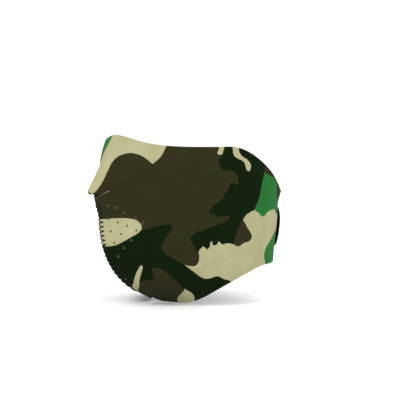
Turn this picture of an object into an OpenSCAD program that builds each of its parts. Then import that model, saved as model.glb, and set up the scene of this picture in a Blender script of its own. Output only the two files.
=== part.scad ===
// Camouflage half face mask: a contoured neoprene shell from the bridge of the
// nose to under the chin, with two wings that meet behind the neck and close
// with a hook tab on a loop patch. Millimetres. The face looks along -Y, the
// wearer's left is +X, up is +Z, and the origin is the middle of the head.
//
// The outer surface is one function, surf(u, z): u runs round the head from
// the nose (0) to the nape (half_loop), plus on the wearer's left. Every layer
// is that surface moved along its own normal.

/* [Face shell] */
// Forward reach of the lips from the ear line
reach = 98.7; // [90:0.1:110]
// Height at which the shell reaches furthest forward
lip_z = 10; // [0:1:20]
// Depth over which the chin curves back underneath
chin_depth = 76.7; // [70:0.1:90]
// Roundness of that chin curve: 2 is an ellipse
chin_round = 2.46; // [2:0.02:3]
// Slope of the shell below the chin hem, where it runs on under the jaw
jaw_slope = 1.9; // [1:0.1:2.5]
// How fast the shell falls back towards the eyes
brow_fall = 0.0053; // [0.003:0.0001:0.008]
// Angle each half turns back from the centre seam
prow_angle = 41; // [20:1:50]
// Half width at the cheekbones
side_w = 71; // [64:0.5:78]
// Narrowing from the cheekbones down to the jaw
side_taper = 0.0012; // [0:0.0001:0.002]
// Rearward reach at the nape
nape = 53; // [46:0.5:62]
// Widening of the nape band towards its top edge
nape_flare = 0.0035; // [0:0.0001:0.006]
// Depth of the hollow below the nape band's top edge
nape_hollow = 2.8; // [0:0.1:5]
// Parameter length from nose to nape
half_loop = 235; // [220:1:250]

/* [Nose] */
// Forward reach of the nose tip
tip_reach = 108.6; // [100:0.2:116]
// Height of the nose tip
tip_z = 25.7; // [20:0.1:30]
// How fast the nose ridge falls back above its tip
nose_slope = 0.65; // [0.4:0.01:1]
// Distance over which the sides of the nose fade into the cheeks
nose_w = 15.5; // [13:0.5:20]
// Roundness of the nose ridge
ridge_r = 3; // [2:0.5:8]
// Half length of the breathing slit under the nose
slit_half = 12; // [10:1:18]
// Lowest height of the slit, on the centre line
slit_z = 19.4; // [16:0.1:24]
// Rise of the slit's ends
slit_rise = 6.6; // [0:0.1:8]
// How far the lip below the slit sits behind the nose
lip_set = 6.6; // [4:0.2:9]
// Height of the nose flap's notch over the lip
notch = 5.8; // [2:0.2:8]

/* [Edges] */
// Height of the cheek's top edge
cheek_top = 59.4; // [50:0.2:66]
// Rise of the top edge over the nose
nose_peak = 8.2; // [4:0.2:14]
// Drop of the top edge behind the cheek
ear_drop = 37.4; // [28:0.2:46]
// Height of the chin hem at the centre seam
chin_hem = -57.5; // [-62:0.5:-50]
// Extra depth of the hem under the jaw
jaw_drop = 6.3; // [2:0.1:12]
// Rise of the hem from the jaw to the nape
nape_rise = 29.4; // [22:0.2:38]

/* [Laminate] */
// Thickness of the printed face fabric
face_t = 0.5; // [0.3:0.05:1]
// Thickness of the foam core
core_t = 2; // [1.5:0.1:4]
// Thickness of the lining
lining_t = 0.5; // [0.3:0.05:1]
// Gap kept between touching layers
lay_gap = 0.05; // [0.02:0.01:0.1]
// Gap kept under each piece of the closure and its thread
stack_gap = 0.15; // [0.1:0.01:0.25]
// Radius of a vent hole
vent_r = 0.7; // [0.5:0.05:1.2]

/* [Closure] */
// Height of the closure tab
tab_h = 32; // [24:1:44]
// Height of the tab's middle line
tab_z = -8; // [-14:0.5:0]
// Thickness of the tab webbing
tab_t = 1; // [0.6:0.1:2]
// Thickness of the hook tape
hook_t = 0.8; // [0.5:0.1:1.5]
// Thickness of the loop patch's woven backing
loop_back_t = 0.5; // [0.3:0.1:1]
// Thickness of the loop pile
loop_pile_t = 0.7; // [0.4:0.1:1.5]
// Gap kept under the chin seam's thread, which crosses a ridge
seam_gap = 0.22; // [0.15:0.01:0.4]
// Radius of the sewing thread
thread_r = 0.3; // [0.2:0.05:0.5]

/* [Hidden] */

fold_u = half_loop / 2;  // the ear line, where the wings fold, is the plane y = 0
fold_gap = 0.18;         // half the cut along that line, in u
left_end = 222;          // where the left wing stops, before the nape's middle
right_end = 233;         // where the right wing stops
tab_root = 229;          // the flap's hinge end, on the left of the nape
tab_tip = 184;           // the flap's rounded tip
core_in = face_t + lay_gap;
lining_in = core_in + core_t + lay_gap;
pile_out = loop_back_t + stack_gap * 2;
hook_out = pile_out + loop_pile_t + 0.3;   // 0.3 running clearance to the hooks
flap_out = hook_out + hook_t + stack_gap;

// Vent holes of the left half as [u, z]; the right half mirrors them.
vents = [[10, 14.5], [15, 13], [20, 9], [28.5, 5], [33.5, 1.5],
         [8, 4], [15, 1.5], [22, -1], [28.5, -4.5],
         [9, -5.5], [17, -7.5], [24, -12],
         [10.5, -14.5], [17.5, -18], [11, -25], [6.5, -43.5]];

// ---- the outer surface -------------------------------------------------
function ease(a, b, x) = let (s = min(1, max(0, (x - a) / (b - a)))) s * s * (3 - 2 * s);
function bez(a, b, c, d, t) =
    pow(1 - t, 3) * a + 3 * t * pow(1 - t, 2) * b + 3 * t * t * (1 - t) * c + t * t * t * d;

function front(z) = z < chin_hem ? front(chin_hem) - jaw_slope * (chin_hem - z) : z < lip_z
    ? reach * pow(1 - pow((lip_z - z) / chin_depth, chin_round), 1 / chin_round)
    : reach - brow_fall * pow(z - lip_z, 2);
function prow(z) = prow_angle * exp(-pow(abs(z + 8) / 50, 3));
function side(z) = side_w - side_taper * pow(50 - z, 2);
function back(z) = nape + nape_flare * pow(min(z, 40) + 22, 2)
    - nape_hollow * exp(-pow((z - 13) / 10, 2));
function ridge(z) = tip_reach - nose_slope * max(0, z - tip_z);

// How far the nose stands forward at sideways distance x; away is x rounded
// off over the ridge, and its last part undoes the crease of the centre seam.
function nose(x, z) = let (away = sqrt(x * x + ridge_r * ridge_r) - ridge_r)
    pow(1 - min(1, away / nose_w), 1.6) * (ridge(z) - front(z) + tan(prow(z)) * (x - away));
// The same for the lip below the slit: it sits back under the nose and meets
// it at the slit's ends. a is the distance round from the centre line.
function lip(a, x, z) = let (set = lip_set * pow(max(0, 1 - pow(a / slit_half, 2)), 2))
    max(0, nose(x, z) - set) * ease(4, slit_mid(a), z);

// A point of the left half: a is u without its sign, up is true above the slit.
function half(a, z, up) = let (f = front(z), w = side(z), b = back(z), p = prow(z),
        s = 2 * a / half_loop, t = s <= 1 ? s : s - 1, k = 0.37 * f,
        x = s <= 1 ? bez(0, k * cos(p), w, w, t) : bez(w, w, 0.56 * w, 0, t),
        y = s <= 1 ? bez(-f, k * sin(p) - f, -0.41 * f, 0, t) : bez(0, 0.58 * b, b, b, t))
    [x, s > 1 ? y : y - (up ? nose(x, z) : lip(a, x, z)), z];

// The vector that moves a point d outward. On the centre line it has no x, and
// is lengthened so that both mirrored halves keep their full thickness.
function lift(a, z, up, d) = let (e = a < fold_u ? 0.02 : -0.02,
        n = cross((half(a + e, z, up) - half(a, z, up)) / e,
                  half(a, z + 0.25, up) - half(a, z - 0.25, up)),
        m = n / norm(n))
    a < 0.001 ? [0, m[1], m[2]] * d / (m[1] * m[1] + m[2] * m[2]) : m * d;

// The surface point at u, z, moved d outward; u may pass the nape's middle.
function surf(u, z, up, d) = let (a = abs(u), past = a > half_loop,
        b = past ? 2 * half_loop - a : a, p = half(b, z, up) + lift(b, z, up, d),
        s = (u < 0) == past ? 1 : -1)
    [s * p[0], p[1], p[2]];

// ---- edges --------------------------------------------------------------
function top_z(u) = cheek_top + nose_peak * exp(-pow(u / 33, 2)) - ear_drop * ease(92, 171, abs(u));
function hem_z(u) = chin_hem - jaw_drop * ease(0, 16, abs(u)) + nape_rise * ease(40, 141, abs(u));
function slit_mid(u) = slit_z + slit_rise * min(1, abs(u) / slit_half);
function lip_edge(u) = slit_mid(u) - 0.3;
function flap_edge(u) = slit_mid(u) + 0.3 + notch * max(0, 1 - abs(u) / 5.5);
function mix(a, b, t) = a + (b - a) * t;

// ---- solids from grids of points ---------------------------------------
// A closed sheet between two grids; cells whose skip(i, j) is true are left out.
module slab(outer, inner, skip) {
    n = len(outer);
    m = len(outer[0]);
    in = n * m;
    keep = [for (i = [-1 : n - 1]) [for (j = [-1 : m - 1])
        i >= 0 && i < n - 1 && j >= 0 && j < m - 1 && !skip(i, j)]];
    points = concat([for (c = outer) each c], [for (c = inner) each c]);
    faces = [for (i = [0 : n - 2]) for (j = [0 : m - 2]) if (keep[i + 1][j + 1])
        let (a = i * m + j, b = a + m, c = b + 1, d = a + 1,
             walls = [[!keep[i + 1][j], a, b], [!keep[i + 2][j + 1], b, c],
                      [!keep[i + 1][j + 2], c, d], [!keep[i][j + 1], d, a]])
        each concat([[a, d, c], [a, c, b], [in + a, in + b, in + c], [in + a, in + c, in + d]],
            [for (w = walls) if (w[0]) each [[w[1], w[2], in + w[2]], [w[1], in + w[2], in + w[1]]]])];
    polyhedron(points = points, faces = faces, convexity = 8);
}

// The front sheet between two depths, with the breathing slit left open.
module front_sheet(d_out, d_in) {
    half_us = [3, 6.5, slit_half, 16, 21, 27, 34, 42, 50, 59, 68, 78, 88, 98, 108, fold_u - fold_gap];
    us = concat([for (i = [len(half_us) - 1 : -1 : 0]) -half_us[i]], [0], half_us);
    low = 13;
    high = 6;
    // The rows lie closest at the chin and the lip, where the shell curves most.
    function bunched(t) = t - 0.08 * sin(360 * t);
    function z_at(u, j) = j <= low ? mix(hem_z(u), lip_edge(u), bunched(j / low))
        : mix(flap_edge(u), top_z(u), (j - low - 1) / high);
    function grid(d) = [for (u = us) [for (j = [0 : low + high + 1]) surf(u, z_at(u, j), j > low, d)]];
    slab(grid(-d_out), grid(-d_in),
         function (i, j) j == low && abs(us[i] + us[i + 1]) < 2 * slit_half);
}

// One wing between two depths; s is 1 on the wearer's left, -1 on the right.
module wing_sheet(s, end, d_out, d_in) {
    n = 11;
    rows = 8;
    us = [for (i = [0 : n]) mix(fold_u + fold_gap, end, i / n)];
    order = s > 0 ? us : [for (i = [n : -1 : 0]) -us[i]];
    function grid(d) = [for (u = order) [for (j = [0 : rows])
        surf(u, mix(hem_z(u), top_z(u), j / rows), false, d)]];
    slab(grid(-d_out), grid(-d_in), function (i, j) false);
}

// A patch on the nape's left from u0 to u1 at height lift_at(u) + [0, t]. Its
// half height is half_h(u).
module patch(u0, u1, n, half_h, lift_at, t) {
    us = [for (i = [0 : n]) mix(u0, u1, i / n)];
    rows = 6;
    function grid(d) = [for (u = us) [for (j = [0 : rows])
        surf(u, tab_z + half_h(u) * (2 * j / rows - 1), false, lift_at(u) + d)]];
    slab(grid(t), grid(0), function (i, j) false);
}

// Thread along a list of points with a square section; out[i] is its outward
// direction there. A closed run joins its ends.
module thread(path, out, closed) {
    n = len(path);
    last = closed ? n - 1 : n - 2;
    tangents = [for (i = [0 : n - 1]) let (
        a = path[closed ? (i + n - 1) % n : max(0, i - 1)],
        b = path[closed ? (i + 1) % n : min(n - 1, i + 1)]) (b - a) / norm(b - a)];
    points = [for (i = [0 : n - 1]) let (s = cross(tangents[i], out[i]), w = s / norm(s) * thread_r,
            h = out[i] / norm(out[i]) * thread_r)
        each [path[i] + w + h, path[i] - w + h, path[i] - w - h, path[i] + w - h]];
    sides = [for (i = [0 : last]) for (k = [0 : 3]) let (a = i * 4, b = (i + 1) % n * 4, l = (k + 1) % 4)
        each [[a + k, b + k, b + l], [a + k, b + l, a + l]]];
    caps = closed ? [] : [[0, 1, 2], [0, 2, 3], [4 * n - 4, 4 * n - 2, 4 * n - 3], [4 * n - 4, 4 * n - 1, 4 * n - 2]];
    polyhedron(points = points, faces = concat(sides, caps), convexity = 8);
}

// A thread that lies on the surface along [u, z] points, its axis at height d.
module surface_thread(marks, lift_at, closed) {
    path = [for (m = marks) surf(m[0], m[1], false, lift_at(m[0]))];
    out = [for (m = marks) surf(m[0], m[1], false, 4) - surf(m[0], m[1], false, 3)];
    thread(path, out, closed);
}

// Slim prisms along the normals that cut the vent holes through every layer.
module vent_cutters() {
    for (s = [-1, 1]) for (v = vents) {
        u = s * v[0];
        a = surf(u, v[1], false, 1.5);
        n = surf(u, v[1], false, 2.5) - a;
        translate(a)
            rotate([0, 90 + asin(-n[2]), atan2(n[1], n[0])])
                translate([0, 0, -6.5])
                    cylinder(r = vent_r, h = 7, $fn = 8);
    }
}

module vented_front(d_out, d_in) {
    difference() {
        front_sheet(d_out, d_in);
        vent_cutters();
    }
}

// ---- front body ----------------------------------------------------------
module face_fabric() { color([0.20, 0.20, 0.12]) vented_front(0, face_t); }
module foam_core() { color([0.05, 0.05, 0.05]) vented_front(core_in, core_in + core_t); }
module lining() { color([0.07, 0.07, 0.07]) vented_front(lining_in, lining_in + lining_t); }

// The zigzag that joins the halves from below the slit to the chin hem.
function zigzag(width, pitch) = [for (i = [0 : floor((slit_z - 4 - chin_hem - 2) / pitch)])
    [(i % 2 == 0 ? 1 : -1) * width, slit_z - 4 - i * pitch]];
module zigzag_thread(width, d) {
    // The thread bends over the ridge, so each stroke has a middle point.
    marks = zigzag(width, 1.5);
    n = len(marks);
    path = [for (i = [0 : n - 1]) each i == n - 1 ? [marks[i]]
        : [marks[i], [0, (marks[i][1] + marks[i + 1][1]) / 2]]];
    thread([for (m = path) surf(m[0], m[1], false, d)],
           [for (m = path) surf(m[0], m[1], false, 4) - surf(m[0], m[1], false, 3)], false);
}
module seam_needle_thread() { color([0.04, 0.04, 0.03]) zigzag_thread(3, thread_r + seam_gap); }
module seam_bobbin_thread() {
    color([0.04, 0.04, 0.03]) zigzag_thread(6.5, -lining_in - lining_t - thread_r - seam_gap);
}

// ---- left wing -----------------------------------------------------------
module left_face_fabric() { color([0.70, 0.69, 0.52]) wing_sheet(1, left_end, 0, face_t); }
module left_foam_core() { color([0.05, 0.05, 0.05]) wing_sheet(1, left_end, core_in, core_in + core_t); }
module left_lining() { color([0.07, 0.07, 0.07]) wing_sheet(1, left_end, lining_in, lining_in + lining_t); }
module loop_backing() {
    color([0.06, 0.06, 0.06])
        patch(189, 219, 6, function (u) tab_h / 2 - 1, function (u) stack_gap, loop_back_t);
}
module loop_pile() {
    color([0.08, 0.08, 0.08])
        patch(192, 216, 6, function (u) tab_h / 2 - 4, function (u) pile_out, loop_pile_t);
}
function ring(u0, u1, h, n) = concat(
    [for (i = [0 : n - 1]) [mix(u0, u1, i / n), tab_z - h]],
    [for (i = [0 : n - 1]) [u1, mix(tab_z - h, tab_z + h, i / n)]],
    [for (i = [0 : n - 1]) [mix(u1, u0, i / n), tab_z + h]],
    [for (i = [0 : n - 1]) [u0, mix(tab_z + h, tab_z - h, i / n)]]);
module loop_stitch() {
    color([0.04, 0.04, 0.03])
        surface_thread(ring(190.5, 217.5, tab_h / 2 - 2.5, 6),
                       function (u) loop_back_t + 2 * stack_gap + thread_r, true);
}

// ---- right wing ----------------------------------------------------------
module right_face_fabric() { color([0.20, 0.20, 0.12]) wing_sheet(-1, right_end, 0, face_t); }
module right_foam_core() { color([0.05, 0.05, 0.05]) wing_sheet(-1, right_end, core_in, core_in + core_t); }
module right_lining() {
    color([0.07, 0.07, 0.07]) wing_sheet(-1, right_end, lining_in, lining_in + lining_t);
}
// The sewn end of the tab, which lies on the right wing up to the flap's hinge.
base_start = 2 * half_loop - 208;
base_end = tab_root + 0.5;
module tab_base() {
    color([0.06, 0.06, 0.06])
        patch(base_end, base_start, 6, function (u) tab_h / 2, function (u) stack_gap, tab_t);
}
module tab_base_stitch() {
    color([0.04, 0.04, 0.03])
        surface_thread(ring(base_start - 3, 2 * half_loop - right_end + 2.5, tab_h / 2 - 3, 5),
                       function (u) tab_t + 2 * stack_gap + thread_r, true);
}

// ---- closure tab ---------------------------------------------------------
// The flap leaves the base level with it and climbs onto the loop patch.
function flap_lift(u) = mix(flap_out, stack_gap, ease(tab_root - 9, tab_root, u));
// Rounded tip: a half ellipse over the last stretch of the flap.
tip_len = 15;
function flap_half(u) = let (q = max(0, (tab_tip + tip_len - u) / tip_len))
    tab_h / 2 * sqrt(max(0.02, 1 - q * q));
module tab_flap() {
    color([0.06, 0.06, 0.06]) {
        us = concat([for (a = [90 : -15 : 15]) tab_tip + tip_len * (1 - sin(a))],
                    [for (i = [0 : 6]) mix(tab_tip + tip_len, tab_root, i / 6)]);
        rows = 6;
        slab([for (u = us) [for (j = [0 : rows])
                  surf(u, tab_z + flap_half(u) * (2 * j / rows - 1), false, flap_lift(u) + tab_t)]],
             [for (u = us) [for (j = [0 : rows])
                  surf(u, tab_z + flap_half(u) * (2 * j / rows - 1), false, flap_lift(u))]],
             function (i, j) false);
    }
}
module hook_tape() {
    color([0.09, 0.09, 0.09])
        patch(193, 214, 5, function (u) tab_h / 2 - 5, function (u) hook_out, hook_t);
}
module hook_stitch() {
    color([0.04, 0.04, 0.03])
        surface_thread(ring(194.5, 212.5, tab_h / 2 - 6.5, 6),
                       function (u) flap_out + tab_t + stack_gap + thread_r, true);
}

face_fabric();
foam_core();
lining();
seam_needle_thread();
seam_bobbin_thread();
left_face_fabric();
left_foam_core();
left_lining();
loop_backing();
loop_pile();
loop_stitch();
right_face_fabric();
right_foam_core();
right_lining();
tab_base();
tab_base_stitch();
tab_flap();
hook_tape();
hook_stitch();
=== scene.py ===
"""Looks for the camouflage half face mask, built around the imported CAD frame.

Lengths are in millimetres in the design functions and become metres in to_mesh().
The mask's outer surface is surface(u, z): u runs round the head from the nose (0)
to the nape (HALF_LOOP), plus on the wearer's left, and z is the height. It repeats
the CAD model's formulas, because this script reads nothing but the frame.
"""

import math

import bpy
import numpy as np
from mathutils import Matrix, Vector
from mathutils.geometry import delaunay_2d_cdt


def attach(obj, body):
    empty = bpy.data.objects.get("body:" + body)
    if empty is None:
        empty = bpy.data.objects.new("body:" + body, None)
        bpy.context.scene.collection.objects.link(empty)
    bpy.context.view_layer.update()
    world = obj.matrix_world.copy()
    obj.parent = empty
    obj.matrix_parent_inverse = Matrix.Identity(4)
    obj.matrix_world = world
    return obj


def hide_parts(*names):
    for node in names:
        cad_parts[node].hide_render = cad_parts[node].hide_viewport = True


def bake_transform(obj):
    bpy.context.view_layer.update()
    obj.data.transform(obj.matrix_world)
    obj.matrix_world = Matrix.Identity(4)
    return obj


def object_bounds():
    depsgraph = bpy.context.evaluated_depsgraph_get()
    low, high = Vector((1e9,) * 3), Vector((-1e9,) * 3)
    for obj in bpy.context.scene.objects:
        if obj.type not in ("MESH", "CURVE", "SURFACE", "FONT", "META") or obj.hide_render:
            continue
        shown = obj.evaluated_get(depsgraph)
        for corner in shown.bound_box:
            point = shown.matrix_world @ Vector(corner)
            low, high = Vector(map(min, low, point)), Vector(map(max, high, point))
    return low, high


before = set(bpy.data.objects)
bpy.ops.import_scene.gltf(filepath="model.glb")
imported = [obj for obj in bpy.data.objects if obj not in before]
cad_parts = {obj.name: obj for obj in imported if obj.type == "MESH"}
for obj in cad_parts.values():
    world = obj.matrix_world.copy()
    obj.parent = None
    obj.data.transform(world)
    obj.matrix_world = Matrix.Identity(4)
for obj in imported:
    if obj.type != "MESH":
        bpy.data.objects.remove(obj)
CAD_BOX = [list(corner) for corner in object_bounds()]

MM = 0.001

# ---- design sizes, as in the CAD model -----------------------------------------
REACH, LIP_Z, CHIN_DEPTH, CHIN_ROUND, JAW_SLOPE = 98.7, 10, 76.7, 2.46, 1.9
BROW_FALL, PROW_ANGLE, SIDE_W, SIDE_TAPER = 0.0053, 41, 71, 0.0012
NAPE, NAPE_FLARE, NAPE_HOLLOW, HALF_LOOP = 53, 0.0035, 2.8, 235
TIP_REACH, TIP_Z, NOSE_SLOPE, NOSE_W, RIDGE_R = 108.6, 25.7, 0.65, 15.5, 3
SLIT_HALF, SLIT_Z, SLIT_RISE, LIP_SET, NOTCH = 12, 19.4, 6.6, 6.6, 5.8
CHEEK_TOP, NOSE_PEAK, EAR_DROP = 59.4, 8.2, 37.4
CHIN_HEM, JAW_DROP, NAPE_RISE = -57.5, 6.3, 29.4
FACE_T, CORE_T, LINING_T = 0.5, 2.0, 0.5
LEFT_END, RIGHT_END = 222, 233
TAB_H, TAB_Z, TAB_T, TAB_ROOT, TAB_TIP, TIP_LEN = 32, -8, 1.0, 229, 184, 15
LOOP_BACK_T, LOOP_PILE_T, HOOK_T = 0.5, 0.7, 0.8
CORE_IN = FACE_T + 0.02
LINING_IN = CORE_IN + CORE_T + 0.02
SHELL_T = LINING_IN + LINING_T
PILE_OUT = LOOP_BACK_T + 0.1
HOOK_OUT = PILE_OUT + LOOP_PILE_T + 0.3
FLAP_OUT = HOOK_OUT + HOOK_T + 0.05
VENT_R = 0.7
VENTS = [(10, 14.5), (15, 13), (20, 9), (28.5, 5), (33.5, 1.5),
         (8, 4), (15, 1.5), (22, -1), (28.5, -4.5),
         (9, -5.5), (17, -7.5), (24, -12),
         (10.5, -14.5), (17.5, -18), (11, -25), (6.5, -43.5)]


# ---- the outer surface ----------------------------------------------------------
def ease(a, b, x):
    """0 before a, 1 after b, smooth between."""
    s = np.clip((np.asarray(x, float) - a) / (b - a), 0, 1)
    return s * s * (3 - 2 * s)


def bezier(a, b, c, d, t):
    return (1 - t) ** 3 * a + 3 * t * (1 - t) ** 2 * b + 3 * t * t * (1 - t) * c + t ** 3 * d


def chin_curve(z):
    return REACH * (1 - ((LIP_Z - z) / CHIN_DEPTH) ** CHIN_ROUND) ** (1 / CHIN_ROUND)


def front_reach(z):
    below = chin_curve(np.clip(z, CHIN_HEM, LIP_Z)) - JAW_SLOPE * np.maximum(CHIN_HEM - z, 0)
    return np.where(z < LIP_Z, below, REACH - BROW_FALL * np.maximum(z - LIP_Z, 0) ** 2)


def nose(x, z, prow):
    """How far the nose stands forward at sideways distance x."""
    away = np.sqrt(x * x + RIDGE_R ** 2) - RIDGE_R
    ridge = TIP_REACH - NOSE_SLOPE * np.maximum(z - TIP_Z, 0)
    fade = (1 - np.minimum(1, away / NOSE_W)) ** 1.6
    return fade * (ridge - front_reach(z) + np.tan(prow) * (x - away))


def lip(a, z, nose_here):
    """The same for the lip below the slit, which sits back under the nose."""
    back_set = LIP_SET * np.maximum(0, 1 - (a / SLIT_HALF) ** 2) ** 2
    return np.maximum(0, nose_here - back_set) * ease(4, slit_mid(a), z)


def half_surface(a, z, up):
    """A point of the left half; a is u without its sign, up is 1 above the slit and 0 below."""
    reach = front_reach(z)
    prow = np.radians(PROW_ANGLE * np.exp(-(np.abs(z + 8) / 50) ** 3))
    side = SIDE_W - SIDE_TAPER * (50 - z) ** 2
    back = NAPE + NAPE_FLARE * (np.minimum(z, 40) + 22) ** 2
    back -= NAPE_HOLLOW * np.exp(-((z - 13) / 10) ** 2)
    s = 2 * a / HALF_LOOP
    ahead = s <= 1
    t = np.where(ahead, s, s - 1)
    k = 0.37 * reach
    x = np.where(ahead, bezier(0, k * np.cos(prow), side, side, t), bezier(side, side, 0.56 * side, 0, t))
    y = np.where(ahead, bezier(-reach, k * np.sin(prow) - reach, -0.41 * reach, 0, t),
                 bezier(0, 0.58 * back, back, back, t))
    nose_here = nose(x, z, prow)
    bulge = np.where(up > 0.5, nose_here, lip(a, z, nose_here))
    return np.stack([x, y - np.where(ahead, bulge, 0), z], -1)


def surface(u, z, up=0.0, d=0.0):
    """Points at u, z moved d outward, and their outward unit normals, as (n, 3) arrays."""
    u, z, up, d = np.broadcast_arrays(*(np.asarray(v, float) for v in (u, z, up, d)))
    a = np.abs(u)
    past = a > HALF_LOOP
    a = np.where(past, 2 * HALF_LOOP - a, a)
    e = np.where(a < HALF_LOOP / 2, 0.02, -0.02)
    p = half_surface(a, z, up)
    along = (half_surface(a + e, z, up) - p) / e[..., None]
    rise = half_surface(a, z + 0.25, up) - half_surface(a, z - 0.25, up)
    n = np.cross(along, rise)
    n /= np.linalg.norm(n, axis=-1, keepdims=True)
    # Next to the centre seam the inner layers keep to their own side of it.
    inward = n * [0, 1, 1] / (n[..., 1] ** 2 + n[..., 2] ** 2)[..., None]
    near = (1 - ease(0, 8, a))[..., None]
    lift = (near * inward + (1 - near) * n) * d[..., None]
    sign = np.where((u < 0) == past, 1.0, -1.0)
    flip = np.stack([sign, np.ones_like(sign), np.ones_like(sign)], -1)
    return (p + lift) * flip, n * flip


def slit_mid(u):
    return SLIT_Z + SLIT_RISE * np.minimum(1, np.abs(u) / SLIT_HALF)


def flap_edge(u):
    """Height of the slit's upper edge, notched under the nose tip."""
    return slit_mid(u) + 0.1 + NOTCH * np.maximum(0, 1 - u / 5.5)


def above_slit(u, z):
    """1 higher than the slit, on the nose side, and 0 lower, on the mouth side."""
    return (z > slit_mid(u)).astype(float)


def top_z(u):
    u = np.abs(u)
    return CHEEK_TOP + NOSE_PEAK * np.exp(-(u / 33) ** 2) - EAR_DROP * ease(92, 171, u)


def hem_z(u):
    u = np.abs(u)
    return CHIN_HEM - JAW_DROP * ease(0, 16, u) + NAPE_RISE * ease(40, 141, u)


# ---- the print --------------------------------------------------------------------
def linear(r, g, b):
    """A display colour, 0 to 255, as scene-linear RGBA."""
    def one(v):
        v /= 255
        return v / 12.92 if v <= 0.04045 else ((v + 0.055) / 1.055) ** 2.4
    return (one(r), one(g), one(b), 1.0)


BROWN = linear(40, 39, 20)
DARK = linear(9, 23, 4)
TAN = linear(159, 156, 120)
GREEN = linear(34, 101, 44)
# Pale cut yarn, and also the colour of the painted highlights at cut edges and round the vents.
PALE_YARN_AND_HIGHLIGHT = linear(140, 138, 108)

# Outlines in u, z of the colour patches over a brown ground, in printing order: a later
# patch hides what lies under it. The points are corners that chaikin rounds into curves,
# and a doubled one stays crisp. The right half's have their u without its sign. A number
# after an outline makes its edge more ragged than EVEN_EDGE.
EVEN_EDGE = 0.16
LEFT_PRINT = [
    # Nose and its side
    (TAN, [(-6, 80), (50, 76), (48, 58), (45, 51), (40, 46.5), (40, 46.5), (36, 50), (31, 53), (22, 55),
           (14, 53), (8.5, 49), (7.5, 38), (6.5, 28), (4, 23), (-6, 23)]),
    # Jaw, up to the nape
    (TAN, [(72, -18), (90, -8), (104, -4), (107, 6), (114, 11), (125, 14), (150, 11), (160, 8), (175, 0),
           (186, -10), (186, -56), (90, -56), (61, -31), (61, -31), (67, -32.5), (71, -31), (73, -26)]),
    # Under the cheek's top edge
    (TAN, [(84, 66), (90, 66), (89, 57), (87, 53), (83, 54), (85, 58)]),
    # Chin and throat
    (DARK, [(-4, -12), (20, -6), (31, -5), (38, -2.5), (46, 0), (54, 0.5), (54, -3), (48, -12), (44.5, -18.5),
            (50, -24), (61, -31), (65, -35), (69, -40), (78, -43), (86, -39.5), (92, -43), (100, -45),
            (104, -56), (90, -75), (-4, -75)]),
    # Beside the mouth
    (TAN, [(-4, 3), (6, 4), (17, 5), (27, 4.5), (32.5, 1), (32.5, -5), (23, -10.5), (14, -15.5), (7, -17.5),
           (-4, -17)]),
    # Behind the cheek, from the top edge to the jaw
    (DARK, [(89, 66), (88, 54), (85, 50), (85, 46), (88, 41.5), (97, 41), (100, 37), (101, 29.5), (94, 33),
            (93, 26), (89, 23), (90, 20), (82, 15), (82, 13), (77.5, 8.5), (84, 8.5), (85, 5), (90, 7),
            (97, 6), (90, 1), (78, -3), (67, -7.5), (66.5, -12), (72, -21.5), (72, -21.5), (75, -15),
            (78, -19), (80, -19), (82, -11), (83, -16), (86, -16), (88, -12), (90, -16), (96, -14),
            (103, -17.5), (110, -14), (115, -13), (115, -9), (105.5, 3), (106, 6), (114, 9.5), (119, 12),
            (122, 20), (122, 29), (124, 38), (128, 56), (110, 75)], 0.4),
    # Second patch under the top edge
    (TAN, [(94, 66), (101, 64), (99, 56), (103, 51.5), (107, 49.5), (111, 45.5), (110, 40), (107, 40.5),
           (105, 48), (97, 51), (95, 55)]),
    (BROWN, [(105, 62), (107, 56), (112, 50), (113, 54), (109, 62)]),
    # Wedge between the dark patch and the jaw
    (BROWN, [(105.5, 4), (105.5, 4), (111, -4), (116, -10), (114, -14), (108, -15), (104, -18), (99, -16),
             (102, -4)]),
    # Towards the nape
    (BROWN, [(145, 31), (150, 33), (160, 26), (168, 22), (168, 6), (158, 4), (152, 9), (147, 20)]),
    (GREEN, [(125, 39), (125, 39), (128, 37), (142, 33), (146, 30), (148, 23), (154, 17), (170, 13),
             (172, 4), (160, 5), (151, 9), (143, 9), (135, 8), (129, 4.5), (125, 4.5), (121, 8),
             (114.5, 9.5), (121, 20), (122, 29)]),
    (GREEN, [(166, -6), (150, -14), (141, -18), (136, -23), (137, -30), (143, -35), (146, -50), (176, -50),
             (180, -26)]),
    # Under the chin
    (TAN, [(28, -30.5), (28.5, -34), (20.5, -43.5), (14, -50), (8, -53), (2, -55), (3, -51), (11, -47.5),
           (20, -39)]),
    (BROWN, [(35, -35), (39, -32.5), (46, -37), (52, -44.5), (56, -52), (44, -57), (36, -63), (34, -75),
             (2, -75), (2, -55.5), (14, -50), (20, -45), (28, -44), (34, -43.5), (34, -39)]),
    (TAN, [(56, -50.5), (56, -50.5), (62, -55.5), (55, -63), (54, -75), (36, -75), (36, -63), (43, -58),
           (52, -54)]),
    # Nape
    (DARK, [(178, 40), (180, 14), (190, 4), (204, 8), (214, -2), (230, -4), (230, 40)]),
    (TAN, [(192, -10), (200, -4), (210, -12), (222, -12), (230, -18), (230, -50), (200, -50), (192, -30),
           (186, -22)]),
]
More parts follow.
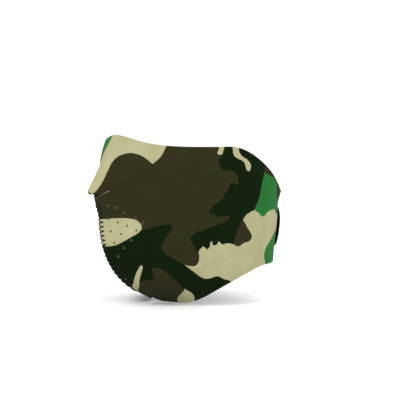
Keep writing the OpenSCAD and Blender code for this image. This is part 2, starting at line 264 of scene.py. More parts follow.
# The right half is cut from the same cloth turned half round, with patches of its own
# beside the centre seam.
TURN_U, TURN_Z = 235, -4
RIGHT_PRINT = [(colour, [(TURN_U - u, TURN_Z - z) for u, z in outline], *ragged)
               for colour, outline, *ragged in LEFT_PRINT[:-2]] + [
    (DARK, [(52, 68), (57, 55), (53, 46), (61, 38), (59, 31), (68, 27), (70, 17), (79, 21), (81, 9),
            (92, 13), (90, 25), (97, 31), (88, 40), (93, 50), (84, 56), (88, 68)], 0.4),
    (DARK, [(22, -36), (34, -31), (45, -38), (57, -34), (64, -24), (76, -27), (73, -37), (62, -46),
            (60, -58), (46, -70), (20, -62)]),
    (DARK, [(100, 64), (108, 52), (106, 42), (114, 35), (112, 25), (120, 19), (128, 24), (125, 34), (134, 38),
            (144, 31), (150, 38), (142, 60)], 0.4),
    (TAN, [(-6, 23), (-6, 80), (8, 80), (7.5, 65), (9, 58), (12, 52), (13, 44), (10, 34), (8, 28), (6, 23)]),
    (GREEN, [(7.5, 80), (7.5, 65), (9.5, 59), (13, 53), (20, 50), (27, 48), (31, 54), (29, 64), (30, 80)]),
    (DARK, [(14, 30), (22, 27), (26, 18), (34, 12), (36, 4), (31, -3), (33, -9), (27, -12), (24, -6),
            (18, -1), (16, 8), (19, 15), (13, 22)], 0.4),
    (TAN, [(-4, -6), (6, -4), (12, -8), (18, -9), (24, -16), (23, -24), (16, -29), (9, -28), (-4, -32)]),
]


def chaikin(points, rounds=2):
    """A closed outline with its corners cut, so that it runs in smooth curves."""
    p = np.array(points, float)
    for _ in range(rounds):
        q = np.roll(p, -1, 0)
        p = np.stack([0.75 * p + 0.25 * q, 0.25 * p + 0.75 * q], 1).reshape(-1, 2)
    return p


def resample(points, step, closed=True):
    """The same line with points about step apart."""
    p = np.vstack([points, points[:1]]) if closed else np.asarray(points, float)
    length = np.concatenate([[0], np.cumsum(np.linalg.norm(np.diff(p, axis=0), axis=1))])
    count = max(3, int(round(length[-1] / step)))
    at = np.linspace(0, length[-1], count + 1)
    line = np.stack([np.interp(at, length, p[:, k]) for k in (0, 1)], -1)
    return line[:-1] if closed else line


def wobble(line, size):
    """The slightly uneven edge of screen-printed ink: two short waves across the line."""
    s = np.arange(len(line))
    tangent = np.roll(line, -1, 0) - np.roll(line, 1, 0)
    across = np.stack([-tangent[:, 1], tangent[:, 0]], -1) / np.linalg.norm(tangent, axis=1)[:, None]
    phase = line[0, 0]
    wave = 0.6 * np.sin(1.9 * s + phase) + 0.4 * np.sin(0.83 * s + 2 * phase)
    return line + across * (size * wave)[:, None]


def inside(points, outline):
    """Which points lie inside a closed outline."""
    x, y = points[:, 0], points[:, 1]
    hit = np.zeros(len(points), bool)
    for (x0, y0), (x1, y1) in zip(outline, np.roll(outline, -1, 0)):
        if y0 != y1:
            crosses = (y0 > y) != (y1 > y)
            hit ^= crosses & (x < (x1 - x0) * (y - y0) / (y1 - y0) + x0)
    return hit


# ---- the flat pattern of one half, cut into triangles --------------------------------
GRID_STEP = 3.0
EDGE_STEP = 1.8
INK_STEP = 1.1
GRID_CLEAR = 1.6       # how far the inner grid keeps from the cut outline
PATTERN_LOW, PATTERN_TALL = -75, 150
VENT_HIGHLIGHT_W = 0.45        # ring of painted highlight round a vent, where its rim catches the light
VENT_HIGHLIGHT_SHARE = 0.22    # how much of the bare yarn shows in it
LIP_EDGE_HIGHLIGHT_W = 0.5       # pale line along the lip's edge: cut yarn, and a painted highlight where the edge catches the light
ROLL_WIDTH = 0.7       # how wide the printed layer rolls over at a cut edge
ROLL_DEPTH = 0.22      # and how deep


def half_outline(end):
    """The closed outline of a half in u, z, with the notch and the slit cut into it."""
    u = np.linspace(0, end, int(end / EDGE_STEP))
    slit_u = np.linspace(0, SLIT_HALF, 25)
    flap = np.stack([slit_u, flap_edge(slit_u)], -1)
    under = np.stack([slit_u, slit_mid(slit_u) - 0.1], -1)
    flap[-1] = under[-1] = [SLIT_HALF + 0.4, slit_mid(SLIT_HALF)]
    hem = np.stack([u, hem_z(u)], -1)
    wing_end = np.array([[end, hem_z(end)], [end, top_z(end)]])
    top = np.stack([u, top_z(u)], -1)[::-1]
    ridge = np.array([[0, top_z(0)], flap[0]])
    seam = np.array([under[0], [0, hem_z(0)]])
    hem, wing_end, top, ridge, seam = (resample(run, EDGE_STEP, closed=False)
                                       for run in (hem, wing_end, top, ridge, seam))
    return np.vstack([run[:-1] for run in (hem, wing_end, top, ridge, flap, under[::-1], seam)])


def vent_ring(u, z, radius, sides=14):
    """A ring that is round on the head, at u, z in the pattern."""
    here, du, dz = (surface(a, b)[0] for a, b in ((u, z), (u + 0.1, z), (u, z + 0.1)))
    scale_u, scale_z = np.linalg.norm(du - here) / 0.1, np.linalg.norm(dz - here) / 0.1
    a = np.arange(sides) * 2 * math.pi / sides
    return np.stack([u + radius * np.cos(a) / scale_u, z + radius * np.sin(a) / scale_z], -1)


def roll_line(outline):
    """Points just inside the cut outline, where the printed layer starts to roll over."""
    tangent = np.roll(outline, -1, 0) - np.roll(outline, 1, 0)
    inward = np.stack([-tangent[:, 1], tangent[:, 0]], -1) / np.linalg.norm(tangent, axis=1)[:, None]
    rim = outline + ROLL_WIDTH * inward
    return rim[inside(rim, outline)]


def inner_grid(outline, end):
    """A triangular grid of points inside the outline and clear of it."""
    row = GRID_STEP * math.sqrt(0.75)
    grid = np.array([(c * GRID_STEP + (r % 2) * GRID_STEP / 2, PATTERN_LOW + r * row)
                     for r in range(int(PATTERN_TALL / row)) for c in range(int(end / GRID_STEP))])
    grid = grid[inside(grid, outline)]
    distance = np.array([np.min(np.linalg.norm(outline - point, axis=1)) for point in grid])
    return grid[distance > GRID_CLEAR]


def triangulate(points, edges, outline, holes):
    """Counter-clockwise triangles that keep the edges, fill the outline and leave the holes."""
    found, _, faces, *_ = delaunay_2d_cdt([Vector(p) for p in points], edges, [], 0, 1e-4)
    flat = np.array([tuple(p) for p in found])
    tris = np.array([face for face in faces if len(face) == 3])
    centre = flat[tris].mean(1)
    keep = inside(centre, outline)
    for hole in holes:
        keep &= ~inside(centre, hole)
    tris = tris[keep]
    a, b, c = (flat[tris[:, k]] for k in range(3))
    turn = (b[:, 0] - a[:, 0]) * (c[:, 1] - a[:, 1]) - (b[:, 1] - a[:, 1]) * (c[:, 0] - a[:, 0])
    real = np.abs(turn) > 1e-7
    return flat, np.where((turn > 0)[:, None], tris, tris[:, ::-1])[real]


def ink_colours(centre, patches, vent_highlights):
    """The ink at each triangle's centre, with a pale strip of cut yarn and painted highlight under the slit,
    and a painted highlight round each vent.
    """
    colours = np.tile(np.array(BROWN), (len(centre), 1))
    for colour, line in patches:
        colours[inside(centre, line)] = colour
    u, below = centre[:, 0], slit_mid(centre[:, 0]) - centre[:, 1]
    # Below the slit, a pale strip: cut yarn with a painted highlight along the edge.
    colours[(u > 1) & (u < SLIT_HALF) & (below > 0) & (below < LIP_EDGE_HIGHLIGHT_W)] = PALE_YARN_AND_HIGHLIGHT
    # A ring of painted highlight round each vent, mixed over the ink.
    for vent_highlight in vent_highlights:
        near = inside(centre, vent_highlight)
        colours[near] = (1 - VENT_HIGHLIGHT_SHARE) * colours[near] + VENT_HIGHLIGHT_SHARE * np.array(PALE_YARN_AND_HIGHLIGHT)
    return colours


def cut_pattern(end, prints):
    """One half's triangles in u, z, each with its printed colour."""
    outline = half_outline(end)
    vents = [vent_ring(u, z, VENT_R) for u, z in VENTS]
    # Rings round the vents, for the painted highlight on their rims.
    vent_highlights = [vent_ring(u, z, VENT_R + VENT_HIGHLIGHT_W) for u, z in VENTS]
    patches = [(colour, wobble(resample(chaikin(shape), INK_STEP), ragged[0] if ragged else EVEN_EDGE))
               for colour, shape, *ragged in prints]
    points, edges = [], []

    def add_loop(line):
        start = len(points)
        points.extend(line)
        edges.extend((start + i, start + (i + 1) % len(line)) for i in range(len(line)))

    for line in (outline, *vents, *vent_highlights):
        add_loop(line)
    points.extend(roll_line(outline))
    for _, line in patches:
        add_loop(line)
    points.extend(inner_grid(outline, end))
    flat, tris = triangulate(points, edges, outline, vents)
    used, index = np.unique(tris, return_inverse=True)
    return {"flat": flat[used], "tris": index.reshape(-1, 3),
            "colours": ink_colours(flat[tris].mean(1), patches, vent_highlights)}


def edge_loops(tris):
    """The directed edges that bound a set of triangles."""
    directed = np.vstack([tris[:, [0, 1]], tris[:, [1, 2]], tris[:, [2, 0]]])
    known = {(a, b) for a, b in directed.tolist()}
    return np.array([(a, b) for a, b in directed.tolist() if (b, a) not in known])


# ---- meshes ------------------------------------------------------------------------
def to_mesh(name, points, faces, normals=None):
    """A new object of millimetre points; normals are one per face corner."""
    mesh = bpy.data.meshes.new(name)
    mesh.from_pydata((np.asarray(points) * MM).tolist(), [], [list(map(int, f)) for f in faces])
    mesh.polygons.foreach_set("use_smooth", np.ones(len(mesh.polygons), bool))
    if normals is not None:
        mesh.normals_split_custom_set(np.asarray(normals).reshape(-1, 3).tolist())
    mesh.update()
    obj = bpy.data.objects.new(name, mesh)
    bpy.context.scene.collection.objects.link(obj)
    return obj


def cloth_layer(name, pattern, side, d_out, d_in, roll=0.0):
    """A closed sheet between two depths. side is 1 for the left half, -1 for the right."""
    flat, tris = pattern["flat"], pattern["tris"]
    u, z = side * flat[:, 0], flat[:, 1]
    up = above_slit(u, z)
    bounds = edge_loops(tris)
    rim = np.zeros(len(flat))
    joined = (flat[:, 0] < 1e-4) & (z > SLIT_Z + 2)
    rim[np.unique(bounds)] = 1
    rim[joined] = 0
    outer, n = surface(u, z, up, -d_out - roll * rim)
    inner, _ = surface(u, z, up, -d_in)
    on_ridge = flat[:, 0] < 1e-4
    shade = np.where((on_ridge & joined)[:, None], n * [0, 1, 1], n)
    shade /= np.linalg.norm(shade, axis=1, keepdims=True)
    count = len(flat)
    if side < 0:
        tris, bounds = tris[:, ::-1], bounds[:, ::-1]
    along = outer[bounds[:, 1]] - outer[bounds[:, 0]]
    away = np.cross(along, n[bounds[:, 0]])
    away /= np.linalg.norm(away, axis=1, keepdims=True) + 1e-12
    lean = np.zeros((count, 3))
    for k in (0, 1):
        np.add.at(lean, bounds[:, k], away)
    rolled = n + 0.9 * (roll > 0) * rim[:, None] * lean / (np.linalg.norm(lean, axis=1, keepdims=True) + 1e-9)
    rolled /= np.linalg.norm(rolled, axis=1, keepdims=True)
    face_normals = np.where(rim[:, None] > 0, rolled, shade)
    walls = np.array([[a, a + count, b + count, b] for a, b in bounds])
    faces = [*tris, *(tris[:, ::-1] + count), *walls]
    wall_normals = np.repeat(away, 4, axis=0)
    normals = np.vstack([face_normals[tris].reshape(-1, 3), -shade[tris[:, ::-1]].reshape(-1, 3),
                         wall_normals])
    obj = to_mesh(name, np.vstack([outer, inner]), faces, normals)
    add_cloth_coordinates(obj, np.vstack([np.stack([u, z], -1)] * 2))
    return obj


def add_cloth_coordinates(obj, flat):
    """Where each vertex lies in the flat cloth, in millimetres, for the weave textures."""
    weave = obj.data.attributes.new("cloth", "FLOAT_VECTOR", "POINT")
    values = np.zeros((len(flat), 3), np.float32)
    values[:, :2] = flat
    weave.data.foreach_set("vector", values.ravel())


def add_print(obj, colours):
    """Paints each outer triangle in its ink. The cut edges are painted pale: the yarn under the ink, and a
    painted highlight along the hem and top edge.
    """
    attribute = obj.data.attributes.new("print", "FLOAT_COLOR", "CORNER")
    values = np.tile(np.array(BROWN, np.float32), (len(obj.data.loops), 1))
    per_corner = np.repeat(colours, 3, axis=0)
    values[:len(per_corner)] = per_corner
    walls = obj.data.polygons[2 * len(colours)].loop_start
    # Painted pale: cut yarn, and the painted rim highlight along the edges.
    values[walls:] = PALE_YARN_AND_HIGHLIGHT
    attribute.data.foreach_set("color", values.ravel())


def slab(name, us, rows, point_at, low, high, round_edge=0.0):
    """A strip of cloth over a grid: point_at(u, v, d) gives its points for v from -1 to 1."""
    v = np.linspace(-1, 1, rows + 1)
    uu, vv = (g.ravel() for g in np.meshgrid(us, v, indexing="ij"))
    m = rows + 1
    n = len(us)
    tris = []
    for i in range(n - 1):
        for j in range(rows):
            a = i * m + j
            tris += [(a, a + m, a + m + 1), (a, a + m + 1, a + 1)]
    tris = np.array(tris)
    bounds = edge_loops(tris)
    rim = np.zeros(len(uu))
    rim[np.unique(bounds)] = round_edge
    outer = point_at(uu, vv, high - rim)
    inner = point_at(uu, vv, low + rim)
    first = outer[tris[0]]
    if np.dot(np.cross(first[1] - first[0], first[2] - first[0]), outer[0] - inner[0]) < 0:
        tris, bounds = tris[:, ::-1], bounds[:, ::-1]
    count = len(uu)
    walls = [[a, a + count, b + count, b] for a, b in bounds]
    obj = to_mesh(name, np.vstack([outer, inner]), [*tris, *(tris[:, ::-1] + count), *walls])
    half = np.ptp(outer[:, 2]) / 2
    add_cloth_coordinates(obj, np.vstack([np.stack([uu, vv * half], -1)] * 2))
    sharpen_by_angle(obj, 50)
    return obj


def sharpen_by_angle(obj, degrees):
    """Marks edges between faces that meet more sharply than this, so that they shade crisp."""
    bpy.context.view_layer.objects.active = obj
    obj.select_set(True)
    bpy.ops.object.shade_smooth_by_angle(angle=math.radians(degrees), keep_sharp_edges=False)
    obj.select_set(False)


def tube_parts(path, out, radius, sides=6):
    """Points and faces of a tube along a path of points, with outward directions."""
    path, out = np.asarray(path), np.asarray(out)
    tangent = np.gradient(path, axis=0)
    tangent /= np.linalg.norm(tangent, axis=1, keepdims=True)
    across = np.cross(tangent, out)
    across /= np.linalg.norm(across, axis=1, keepdims=True)
    lift = np.cross(across, tangent)
    a = np.arange(sides) * 2 * math.pi / sides
    ring = (np.cos(a)[None, :, None] * across[:, None] + np.sin(a)[None, :, None] * lift[:, None]) * radius
    points = (path[:, None] + ring).reshape(-1, 3)
    faces = []
    for i in range(len(path) - 1):
        for k in range(sides):
            p, q = i * sides + k, i * sides + (k + 1) % sides
            faces.append([p, p + sides, q + sides, q])
    faces.append(list(range(sides)))
    faces.append([(len(path) - 1) * sides + k for k in reversed(range(sides))])
    return points, faces


def tubes(name, runs, radius, sides=6):
    """One object of many tubes; each run is (path, outward directions)."""
    points, faces = [], []
    for path, out in runs:
        p, f = tube_parts(path, out, radius, sides)
        base = sum(len(q) for q in points)
        points.append(p)
        faces += [[i + base for i in face] for face in f]
    return to_mesh(name, np.vstack(points), faces)


# ---- stitches -----------------------------------------------------------------------
THREAD_R = 0.28
SEAM_THREAD_R = 0.38
SEAM_PITCH = 1.75              # height of one stroke of the zigzag
SEAM_TOP = SLIT_Z - 4
SEAM_END = CHIN_HEM + 2
NEEDLE_REACH, BOBBIN_REACH = 3.7, 6.5    # how far the strokes reach beside the seam
SEAM_SINK = 0.6                # how deep a stroke's ends dip into the cloth


def zigzag_runs(reach, depth):
    """Strokes of the zigzag over the centre seam, below the slit, at a depth into the shell."""
    runs = []
    for i in range(int((SEAM_TOP - SEAM_END) / SEAM_PITCH)):
        side = 1 if i % 2 == 0 else -1
        s = np.linspace(0, 1, 11)
        u = side * reach * (1 - 2 * s)
        z = SEAM_TOP - (i + s) * SEAM_PITCH
        arch = SEAM_THREAD_R * 0.6 - SEAM_SINK * (2 * s - 1) ** 8
        d = (arch - depth) if depth == 0 else (-arch - depth)
        path, _ = surface(u, z, 0.0, d)
        out = surface(u, z, 0.0, 4.0)[0] - surface(u, z, 0.0, 3.0)[0]
        runs.append((path, out))
    return runs


def dashes(line, lift_at, stitch=2.7, gap=0.5, closed=True):
    """Running stitches along a line of u, z points, each dipping into the cloth at its ends."""
    line = resample(line, 0.3, closed)
    if closed:
        line = np.vstack([line, line[:1]])
    path, n = surface(line[:, 0], line[:, 1], 0.0, lift_at(line[:, 0]))
    length = np.concatenate([[0], np.cumsum(np.linalg.norm(np.diff(path, axis=0), axis=1))])
    count = int(length[-1] / (stitch + gap))
    each = length[-1] / count
    runs = []
    for i in range(count):
        s = np.linspace(0, 1, 7)
        at = i * each + s * (each - gap)
        points = np.stack([np.interp(at, length, path[:, k]) for k in range(3)], -1)
        out = np.stack([np.interp(at, length, n[:, k]) for k in range(3)], -1)
        arch = THREAD_R * (0.9 - 1.5 * (2 * s - 1) ** 4)
        runs.append((points + out * arch[:, None], out))
    return runs


def box_line(u0, u1, half):
    """A rectangle of stitching round a patch, with rounded corners."""
    corner = 1.5
    middle = [((u0 + corner, TAB_Z - half + corner), 180), ((u1 - corner, TAB_Z - half + corner), 270),
              ((u1 - corner, TAB_Z + half - corner), 0), ((u0 + corner, TAB_Z + half - corner), 90)]
    turn = np.radians([0, 30, 60, 90])
    return np.array([(u + corner * math.cos(math.radians(a) + t), z + corner * math.sin(math.radians(a) + t))
                     for (u, z), a in middle for t in turn])


# ---- materials ----------------------------------------------------------------------
def new_material(name):
    material = bpy.data.materials.new(name)
    material.use_nodes = True
    nodes = material.node_tree.nodes
    return material, nodes, material.node_tree.links, nodes["Principled BSDF"]


def math_node(nodes, links, operation, a, b=None):
    node = nodes.new("ShaderNodeMath")
    node.operation = operation
    for k, value in enumerate((a, b)):
        if value is None:
            continue
        if isinstance(value, (int, float)):
            node.inputs[k].default_value = value
        else:
            links.new(value, node.inputs[k])
    return node.outputs[0]


def knit_height(nodes, links, wale, course):
    """Height of a plain jersey knit: columns of V-shaped loops, wale wide and course tall (mm)."""
    cloth = nodes.new("ShaderNodeAttribute")
    cloth.attribute_name = "cloth"
    split = nodes.new("ShaderNodeSeparateXYZ")
    links.new(cloth.outputs["Vector"], split.inputs[0])
    across = math_node(nodes, links, "MULTIPLY", split.outputs[0], 1 / wale)
    column = math_node(nodes, links, "PINGPONG", across, 0.5)
    slant = math_node(nodes, links, "MULTIPLY", column, 0.8)
    rows = math_node(nodes, links, "MULTIPLY", split.outputs[1], 1 / course)
    row = math_node(nodes, links, "PINGPONG", math_node(nodes, links, "ADD", rows, slant), 0.5)
    rib = math_node(nodes, links, "SINE", math_node(nodes, links, "MULTIPLY", column, 2 * math.pi))
    return math_node(nodes, links, "MULTIPLY", math_node(nodes, links, "ADD", rib, 0.3), row), cloth


def add_bump(nodes, links, shader, height, strength, distance):
    bump = nodes.new("ShaderNodeBump")
    bump.inputs["Strength"].default_value = strength
    bump.inputs["Distance"].default_value = distance
    links.new(height, bump.inputs["Height"])
    links.new(bump.outputs[0], shader.inputs["Normal"])


def noise(nodes, links, vector, scale, detail=2.0, roughness=0.5):
    node = nodes.new("ShaderNodeTexNoise")
    node.inputs["Scale"].default_value = scale
    node.inputs["Detail"].default_value = detail
    node.inputs["Roughness"].default_value = roughness
    if vector is not None:
        links.new(vector, node.inputs["Vector"])
    return node.outputs["Fac"]


def ramp(nodes, links, factor, low, high):
    """A factor mapped from 0..1 to low..high."""
    node = nodes.new("ShaderNodeMapRange")
    node.inputs["To Min"].default_value = low
    node.inputs["To Max"].default_value = high
    links.new(factor, node.inputs["Value"])
    return node.outputs[0]


def object_coordinates(nodes):
    return nodes.new("ShaderNodeTexCoord").outputs["Object"]


def shaded(nodes, links, colour, factor):
    """A colour socket or value multiplied by a grey factor."""
    scale = nodes.new("ShaderNodeVectorMath")
    scale.operation = "SCALE"
    if isinstance(colour, tuple):
        scale.inputs[0].default_value = colour[:3]
    else:
        links.new(colour, scale.inputs[0])
    links.new(factor, scale.inputs["Scale"])
    return scale.outputs[0]


def printed_jersey():
    """Polyester jersey with the camouflage printed on it: matte, with a soft sheen."""
    material, nodes, links, shader = new_material("printed_jersey")
    height, cloth = knit_height(nodes, links, 0.9, 0.7)
    ink = nodes.new("ShaderNodeAttribute")
    ink.attribute_name = "print"
    fleck = noise(nodes, links, cloth.outputs["Vector"], 0.9, 3, 0.6)
    cloud = noise(nodes, links, cloth.outputs["Vector"], 0.06, 2)
    tone = math_node(nodes, links, "MULTIPLY", ramp(nodes, links, fleck, 0.86, 1.14),
                     ramp(nodes, links, cloud, 0.84, 1.16))
    grain = math_node(nodes, links, "MULTIPLY", tone, ramp(nodes, links, height, 0.88, 1.06))
    links.new(shaded(nodes, links, ink.outputs["Color"], grain), shader.inputs["Base Color"])
    shader.inputs["Roughness"].default_value = 0.85
    shader.inputs["Specular IOR Level"].default_value = 0.05
    shader.inputs["Sheen Weight"].default_value = 0.015
    shader.inputs["Sheen Roughness"].default_value = 0.45
    shader.inputs["Sheen Tint"].default_value = (0.8, 0.8, 0.72, 1)
    add_bump(nodes, links, shader, height, 0.5, 0.0002)
    return material


def lining_jersey():
    material, nodes, links, shader = new_material("lining_jersey")
    height, cloth = knit_height(nodes, links, 1.1, 0.8)
    fleck = noise(nodes, links, cloth.outputs["Vector"], 0.8, 3, 0.6)
    tone = math_node(nodes, links, "MULTIPLY", ramp(nodes, links, fleck, 0.7, 1.4),
                     ramp(nodes, links, height, 0.8, 1.15))
    links.new(shaded(nodes, links, linear(34, 34, 33), tone), shader.inputs["Base Color"])
    shader.inputs["Roughness"].default_value = 0.9
    shader.inputs["Specular IOR Level"].default_value = 0.12
    shader.inputs["Sheen Weight"].default_value = 0.08
    add_bump(nodes, links, shader, height, 0.6, 0.0003)
    return material


def neoprene_foam():
    """Closed-cell foam: near black, with the fine pores of a knife-cut edge."""
    material, nodes, links, shader = new_material("neoprene_foam")
    where = object_coordinates(nodes)
    cells = nodes.new("ShaderNodeTexVoronoi")
    cells.inputs["Scale"].default_value = 3200
    links.new(where, cells.inputs["Vector"])
    patchy = noise(nodes, links, where, 700, 3)
    tone = ramp(nodes, links, patchy, 0.6, 1.5)
    links.new(shaded(nodes, links, linear(22, 22, 21), tone), shader.inputs["Base Color"])
    shader.inputs["Roughness"].default_value = 0.85
    shader.inputs["Specular IOR Level"].default_value = 0.12
    add_bump(nodes, links, shader, cells.outputs["Distance"], 0.5, 0.0002)
    return material


def sewing_thread():
    """Spun polyester: a fine diagonal twist."""
    material, nodes, links, shader = new_material("sewing_thread")
    twist = nodes.new("ShaderNodeTexWave")
    twist.bands_direction = "DIAGONAL"
    twist.inputs["Scale"].default_value = 900
    twist.inputs["Distortion"].default_value = 1.5
    links.new(object_coordinates(nodes), twist.inputs["Vector"])
    tone = ramp(nodes, links, twist.outputs["Fac"], 0.6, 1.4)
    links.new(shaded(nodes, links, linear(15, 16, 12), tone), shader.inputs["Base Color"])
    shader.inputs["Roughness"].default_value = 0.6
    shader.inputs["Specular IOR Level"].default_value = 0.12
    add_bump(nodes, links, shader, twist.outputs["Fac"], 0.6, 0.0001)
    return material


def nylon_webbing(name, yarn, grey):
    """Plain-woven nylon: yarns over and under, yarn wide (mm)."""
    material, nodes, links, shader = new_material(name)
    cloth = nodes.new("ShaderNodeAttribute")
    cloth.attribute_name = "cloth"
    split = nodes.new("ShaderNodeSeparateXYZ")
    links.new(cloth.outputs["Vector"], split.inputs[0])
    phases = [math_node(nodes, links, "MULTIPLY", split.outputs[k], math.pi / yarn) for k in (0, 1)]
    weave = math_node(nodes, links, "MULTIPLY", *(math_node(nodes, links, "SINE", phase) for phase in phases))
    height = math_node(nodes, links, "ABSOLUTE", weave)
    fleck = noise(nodes, links, cloth.outputs["Vector"], 1.5, 2)
    tone = math_node(nodes, links, "MULTIPLY", ramp(nodes, links, height, 0.7, 1.35),
                     ramp(nodes, links, fleck, 0.85, 1.15))
    links.new(shaded(nodes, links, linear(grey, grey, grey), tone), shader.inputs["Base Color"])
    shader.inputs["Roughness"].default_value = 0.6
    shader.inputs["Specular IOR Level"].default_value = 0.18
    shader.inputs["Sheen Weight"].default_value = 0.03
    add_bump(nodes, links, shader, height, 0.7, 0.0002)
    return material


def nylon_fibre(name, grey, roughness):
    """Loops and hooks: single nylon filaments with a little tone from one to the next."""
    material, nodes, links, shader = new_material(name)
    tone = ramp(nodes, links, noise(nodes, links, object_coordinates(nodes), 600, 1), 0.6, 1.5)
    links.new(shaded(nodes, links, linear(grey, grey, grey + 1), tone), shader.inputs["Base Color"])
    shader.inputs["Roughness"].default_value = roughness
    shader.inputs["Specular IOR Level"].default_value = 0.25
    add_bump(nodes, links, shader, noise(nodes, links, object_coordinates(nodes), 2500, 2), 0.3, 0.0001)
    return material


def studio_floor():
    material, nodes, links, shader = new_material("studio_floor")
    tone = ramp(nodes, links, noise(nodes, links, object_coordinates(nodes), 3, 2), 0.99, 1.01)
    links.new(shaded(nodes, links, (0.97, 0.97, 0.97), tone), shader.inputs["Base Color"])
    shader.inputs["Roughness"].default_value = 0.9
    return material


# ---- camera, light and floor -----------------------------------------------------------
VIEW_AZIMUTH, VIEW_ELEVATION, VIEW_DISTANCE = 52.0, 5.0, 1.3
VIEW_LENS = 146.25
VIEW_RISE, VIEW_LEFT = 0.0130, 0.0006    # how far the view's middle is above and left of the origin
FLOOR_HALF = 6.0
FLOOR_GAP = 0.001


def add_camera():
    """The viewing angle: from the wearer's left front, slightly above."""
    azimuth, elevation = math.radians(VIEW_AZIMUTH), math.radians(VIEW_ELEVATION)
    away = Vector((math.sin(azimuth) * math.cos(elevation), -math.cos(azimuth) * math.cos(elevation),
                   math.sin(elevation)))
    right = Vector((math.cos(azimuth), math.sin(azimuth), 0))
    rise = away.cross(right)
    data = bpy.data.cameras.new("camera")
    data.lens = VIEW_LENS
    data.sensor_width = 36
    data.clip_start = 0.05
    camera = bpy.data.objects.new("camera", data)
    place = away * VIEW_DISTANCE + rise * VIEW_RISE - right * VIEW_LEFT
    camera.matrix_world = Matrix.Translation(place) @ Matrix((right, rise, away)).transposed().to_4x4()
    bpy.context.scene.collection.objects.link(camera)
    bpy.context.scene.camera = camera


def add_area_light(name, place, size, power):
    data = bpy.data.lights.new(name, "AREA")
    data.shape = "DISK"
    data.size = size
    data.energy = power
    light = bpy.data.objects.new(name, data)
    light.location = place
    light.rotation_euler = (-Vector(place)).to_track_quat("-Z", "Y").to_euler()
    bpy.context.scene.collection.objects.link(light)


def add_studio():
    world = bpy.data.worlds.new("studio")
    bpy.context.scene.world = world
    world.use_nodes = True
    background = world.node_tree.nodes["Background"]
    background.inputs["Color"].default_value = (1, 1, 1, 1)
    background.inputs["Strength"].default_value = 1.05
    add_area_light("key_light", (0.1, -1.3, 1.3), 1.0, 14)
    add_area_light("fill_light", (1.5, -0.2, 0.5), 1.4, 8)
    add_area_light("back_light", (-0.4, 1.4, 1.0), 1.2, 8)
    mesh = bpy.data.meshes.new("floor")
    corners = [(x * FLOOR_HALF, y * FLOOR_HALF, 0) for x, y in ((-1, -1), (1, -1), (1, 1), (-1, 1))]
    mesh.from_pydata(corners, [], [(0, 1, 2, 3)])
    floor = bpy.data.objects.new("floor", mesh)
    floor.location = (0, 0, CAD_BOX[0][2] - FLOOR_GAP)
    bpy.context.scene.collection.objects.link(floor)
    mesh.materials.append(studio_floor())
    bpy.context.scene.view_settings.view_transform = "Standard"


# ---- the mask ------------------------------------------------------------------------
# Where the pieces of the closure start and end along u
LOOP_BACKING = (189, 219)
LOOP_PILE = (192.4, 215.8)
LOOP_STITCH = (190.5, 217.5)
HOOK_TAPE = (193, 214)
HOOK_STITCH = (194.5, 212.5)
BASE_START, BASE_END = 2 * HALF_LOOP - 208, 2 * HALF_LOOP - RIGHT_END


def finish_half(obj, material, nodes):
    """What every layer of a half shares: its material, hiding the CAD parts it stands for, and its transform
    baked into the mesh.
    """
    obj.data.materials.append(material)
    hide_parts(*nodes)
    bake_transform(obj)


def build_half(side, materials):
    name = "left" if side > 0 else "right"
    pattern = cut_pattern(LEFT_END if side > 0 else RIGHT_END, LEFT_PRINT if side > 0 else RIGHT_PRINT)
    layers = [
        ("face_cloth", "printed_jersey", "camo_fabric", "face_fabric", 0, FACE_T, ROLL_DEPTH),
        ("foam_sheet", "neoprene_foam", "foam", "foam_core", CORE_IN, CORE_IN + CORE_T, 0),
        ("lining_cloth", "lining_jersey", "lining_fabric", "lining", LINING_IN, SHELL_T, 0),
    ]
    for piece, material, slot, node, d_out, d_in, roll in layers:
        obj = cloth_layer(f"{name}_{piece}", pattern, side, d_out, d_in, roll)
        if piece == "face_cloth":
            add_print(obj, pattern["colours"])
        finish_half(obj, materials[material], [node, f"{name}_{node}"])


def build_centre_seam(materials):
    needle = tubes("seam_needle_stitches", zigzag_runs(NEEDLE_REACH, 0), SEAM_THREAD_R)
    bobbin = tubes("seam_bobbin_stitches", zigzag_runs(BOBBIN_REACH, SHELL_T), SEAM_THREAD_R)
    for obj, node in ((needle, "seam_needle_thread"), (bobbin, "seam_bobbin_thread")):
        obj.data.materials.append(materials["sewing_thread"])
        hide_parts(node)
        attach(obj, "front")


def strip_points(half_at, lift_at):
    """point_at for slab(): a strip on the nape centred on the tab's height."""
    def point_at(u, v, d):
        return surface(u, TAB_Z + v * half_at(u), 0.0, lift_at(u) + d)[0]
    return point_at


def constant(value):
    return lambda u: np.full(np.shape(u), float(value))


def build_loop_patch(materials):
    backing = slab("loop_patch_backing", np.linspace(*LOOP_BACKING, 24), 20,
                   strip_points(constant(TAB_H / 2 - 1), constant(0.05)), 0, LOOP_BACK_T, 0.1)
    pile = loop_pile()
    ring = dashes(box_line(*LOOP_STITCH, TAB_H / 2 - 2.5), constant(LOOP_BACK_T + 0.1))
    stitches = tubes("loop_patch_stitches", ring, THREAD_R)
    finishes = ((backing, "loop_backing", "webbing", "nylon_webbing"),
                (pile, "loop_pile", "loop_pile", "loop_fibre"),
                (stitches, "loop_stitch", "thread", "sewing_thread"))
    for obj, node, slot, material in finishes:
        obj.data.materials.append(materials[material])
        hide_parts(node)
        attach(obj, "left_wing")


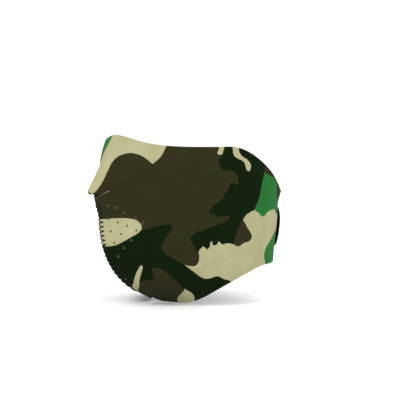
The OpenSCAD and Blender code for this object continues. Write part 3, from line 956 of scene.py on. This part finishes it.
def loop_pile():
    """A napped mat of small nylon loops, leaning every way."""
    random = np.random.default_rng(4)
    runs = []
    half = TAB_H / 2 - 4
    for u in np.arange(*LOOP_PILE, 1.0):
        for z in np.arange(TAB_Z - half + 0.4, TAB_Z + half - 0.3, 0.9):
            au, az = u + random.uniform(-0.3, 0.3), z + random.uniform(-0.3, 0.3)
            turn = random.uniform(0, 2 * math.pi)
            span = random.uniform(0.35, 0.6)
            s = np.linspace(0, math.pi, 6)
            lean = random.uniform(-0.3, 0.3)
            du = span * np.cos(s) * math.cos(turn) + lean * np.sin(s) * math.sin(turn)
            dz = span * np.cos(s) * math.sin(turn) - lean * np.sin(s) * math.cos(turn)
            rise = random.uniform(0.35, 0.55)
            path, n = surface(au + du, az + dz, 0.0, PILE_OUT + rise * np.sin(s))
            side = np.cross(np.gradient(path, axis=0), n)
            runs.append((path, side))
    return tubes("loop_patch_pile", runs, 0.07, 3)


def flap_lift(u):
    return FLAP_OUT + (0.05 - FLAP_OUT) * ease(TAB_ROOT - 9, TAB_ROOT, u)


def flap_half(u):
    q = np.maximum(0, (TAB_TIP + TIP_LEN - u) / TIP_LEN)
    return TAB_H / 2 * np.sqrt(np.maximum(0.004, 1 - q * q))


def build_tab(materials):
    """The black tab: one strip of webbing, sewn to the right wing and free from its fold on."""
    tip = TAB_TIP + TIP_LEN * (1 - np.sin(np.linspace(math.pi / 2, 0, 12)))
    us = np.concatenate([tip, np.linspace(TAB_TIP + TIP_LEN, BASE_START, 56)[1:]])
    webbing = slab("closure_tab_webbing", us, 20, strip_points(flap_half, flap_lift), 0, TAB_T, 0.15)
    webbing.data.materials.append(materials["tab_webbing"])
    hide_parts("tab_base", "tab_flap")
    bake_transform(webbing)
    base_line = box_line(BASE_END + 2.5, BASE_START - 3, TAB_H / 2 - 3)
    base_ring = dashes(base_line, lambda u: flap_lift(u) + TAB_T)
    sewn = tubes("tab_box_stitches", base_ring, THREAD_R)
    tape, hooks = hook_field()
    hook_ring = dashes(box_line(*HOOK_STITCH, TAB_H / 2 - 6.5), constant(FLAP_OUT + TAB_T))
    held = tubes("hook_tape_stitches", hook_ring, THREAD_R)
    finishes = ((sewn, "tab_base_stitch", "thread", "sewing_thread", "right_wing"),
                (tape, "hook_tape", "hooks", "hook_fibre", "closure_tab"),
                (hooks, "hook_tape", "hooks", "hook_fibre", "closure_tab"),
                (held, "hook_stitch", "thread", "sewing_thread", "closure_tab"))
    for obj, node, slot, material, body in finishes:
        obj.data.materials.append(materials[material])
        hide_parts(node)
        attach(obj, body)


def hook_field():
    """A thin tape with rows of small hooks that face the loop patch."""
    half = TAB_H / 2 - 5
    u0, u1 = HOOK_TAPE
    tape = slab("hook_tape_field", np.linspace(u0, u1, 16), 14,
                strip_points(constant(half), constant(HOOK_OUT)), 0.45, HOOK_T, 0.05)
    runs = []
    for i, u in enumerate(np.arange(u0 + 0.8, u1 - 0.6, 1.3)):
        way = 1 if i % 2 == 0 else -1
        for z in np.arange(TAB_Z - half + 0.8, TAB_Z + half - 0.6, 1.3):
            s = np.linspace(0, 1, 6)
            bend = np.clip(s * 1.6 - 0.6, 0, 1)
            depth = HOOK_OUT + 0.5 - 0.45 * np.sin(s * math.pi * 0.62)
            path, _ = surface(u + way * 0.35 * np.sin(bend * math.pi * 0.75), np.full(6, z), 0.0, depth)
            runs.append((path, np.tile([0.0, 0.0, 1.0], (6, 1))))
    return tape, tubes("hook_tape_hooks", runs, 0.08, 4)


def build():
    add_camera()
    add_studio()
    materials = {
        "printed_jersey": printed_jersey(),
        "lining_jersey": lining_jersey(),
        "neoprene_foam": neoprene_foam(),
        "sewing_thread": sewing_thread(),
        "nylon_webbing": nylon_webbing("nylon_webbing", 0.5, 22),
        "tab_webbing": nylon_webbing("tab_webbing", 0.8, 15),
        "loop_fibre": nylon_fibre("loop_fibre", 28, 0.7),
        "hook_fibre": nylon_fibre("hook_fibre", 24, 0.4),
    }
    for side in (1, -1):
        build_half(side, materials)
    build_centre_seam(materials)
    build_loop_patch(materials)
    build_tab(materials)


build()
